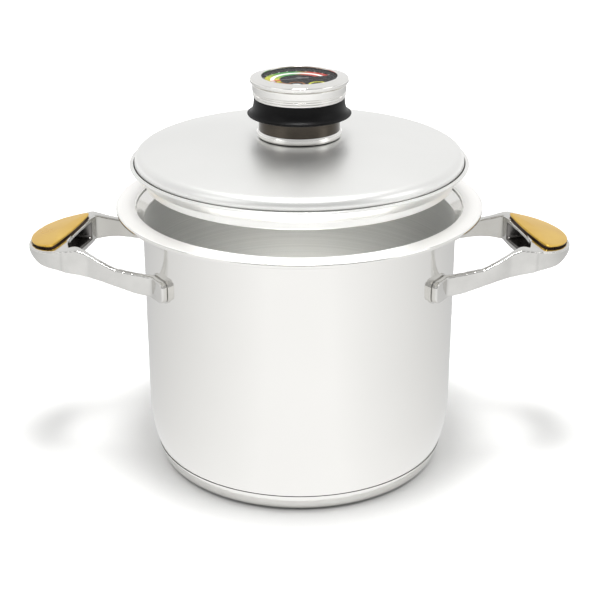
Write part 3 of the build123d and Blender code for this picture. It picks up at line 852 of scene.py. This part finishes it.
def reflector(inner, outer):
    """A glowing ring on the floor, bright in front and dimmer round to the sides and back. It shows
    only in reflections: the camera, the shadows and the other lights' bounce pass through it."""
    turn, above_floor = np.linspace(0, 2 * np.pi, 97)[:-1], 0.0008
    points = [
        (size * math.sin(a), -size * math.cos(a), above_floor) for size in (inner, outer) for a in turn
    ]
    count = len(turn)
    faces = [(i, (i + 1) % count, count + (i + 1) % count, count + i) for i in range(count)]
    mesh = bpy.data.meshes.new("reflector")
    mesh.from_pydata(points, [], faces)
    ring = bpy.data.objects.new("reflector", mesh)
    glow = bpy.data.materials.new("reflector_glow")
    glow.use_nodes = True
    tree = glow.node_tree
    tree.nodes.clear()
    place = add(tree, "ShaderNodeTexCoord").outputs["Object"]
    split = add(tree, "ShaderNodeSeparateXYZ", None, Vector=place)
    away = add(tree, "ShaderNodeMath", {"operation": "MULTIPLY", 1: -1.0}, _0=split.outputs["Y"])
    angle = add(
        tree, "ShaderNodeMath", {"operation": "ARCTAN2"}, _0=split.outputs["X"], _1=away.outputs[0]
    )
    from_front = add(tree, "ShaderNodeMath", {"operation": "ABSOLUTE"}, _0=angle.outputs[0])
    strength = add(
        tree, "ShaderNodeMapRange",
        {"From Min": 0.35, "From Max": 2.8, "To Min": 1.08, "To Max": 0.54},
        Value=from_front.outputs[0],
    )
    emission = add(tree, "ShaderNodeEmission", None, Strength=strength.outputs[0])
    output = add(tree, "ShaderNodeOutputMaterial")
    tree.links.new(emission.outputs[0], output.inputs["Surface"])
    mesh.materials.append(glow)
    bpy.context.scene.collection.objects.link(ring)
    for rays in ("camera", "diffuse", "shadow", "transmission"):
        setattr(ring, "visible_" + rays, False)


def stage():
    """A pale floor that glows away from the pot, a white surround brighter behind, a reflector,
    soft lights and the camera."""
    half = 6.0
    mesh = bpy.data.meshes.new("floor")
    corners = [(-half, -half, 0), (half, -half, 0), (half, half, 0), (-half, half, 0)]
    mesh.from_pydata(corners, [], [[0, 1, 2, 3]])
    floor = bpy.data.objects.new("floor", mesh)
    paper, tree, surface = material("white_paper", {"Base Color": colour("#F7F7F6"), "Roughness": 0.8})
    mesh.materials.append(paper)
    place = add(tree, "ShaderNodeTexCoord").outputs["Object"]
    away = add(tree, "ShaderNodeVectorMath", {"operation": "LENGTH"}, _0=place)
    lit = add(
        tree, "ShaderNodeMapRange",
        {"From Min": 0.22, "From Max": 0.7, "To Min": 0.0, "To Max": 0.55}, Value=away.outputs["Value"],
    )
    tree.links.new(lit.outputs[0], surface.inputs["Emission Strength"])
    surface.inputs["Emission Color"].default_value = colour("#FFFFFF")
    bpy.context.scene.collection.objects.link(floor)

    world = bpy.data.worlds.new("white_surround")
    world.use_nodes = True
    glow = world.node_tree
    glow.nodes["Background"].inputs["Color"].default_value = colour("#FFFFFF")
    sky = add(glow, "ShaderNodeTexCoord").outputs["Generated"]
    toward = add(glow, "ShaderNodeSeparateXYZ", None, Vector=sky)
    strength = add(
        glow, "ShaderNodeMapRange",
        {"From Min": -0.7, "From Max": 0.5, "To Min": 0.55, "To Max": 0.88},
        Value=toward.outputs["Y"],
    )
    glow.links.new(strength.outputs[0], glow.nodes["Background"].inputs["Strength"])
    bpy.context.scene.world = world

    middle = (0, 0, 0.12)
    area_light("overhead_softbox", (0.0, -0.2, 1.6), middle, 0.4, 17)
    area_light("left_softbox", (-1.3, -0.9, 1.0), middle, 0.9, 2)
    area_light("right_softbox", (1.4, -0.5, 0.8), middle, 0.7, 2)
    area_light("inside_fill", (0.0, 0.0, 0.185), (0, 0, 0), 0.12, 0.6).visible_camera = False
    reflector(0.1, 1.6)
    bpy.context.scene.view_settings.view_transform = "Standard"

    data = bpy.data.cameras.new("camera")
    data.lens, data.sensor_width = 83.1, 36.0
    data.shift_x = 0.0011
    camera = bpy.data.objects.new("camera", data)
    camera.location = (0, -0.850, 0.4619)
    camera.rotation_euler = (math.radians(90 - 22.73), 0, 0)
    bpy.context.scene.collection.objects.link(camera)
    bpy.context.scene.camera = camera


stage()

bpy.context.view_layer.update()
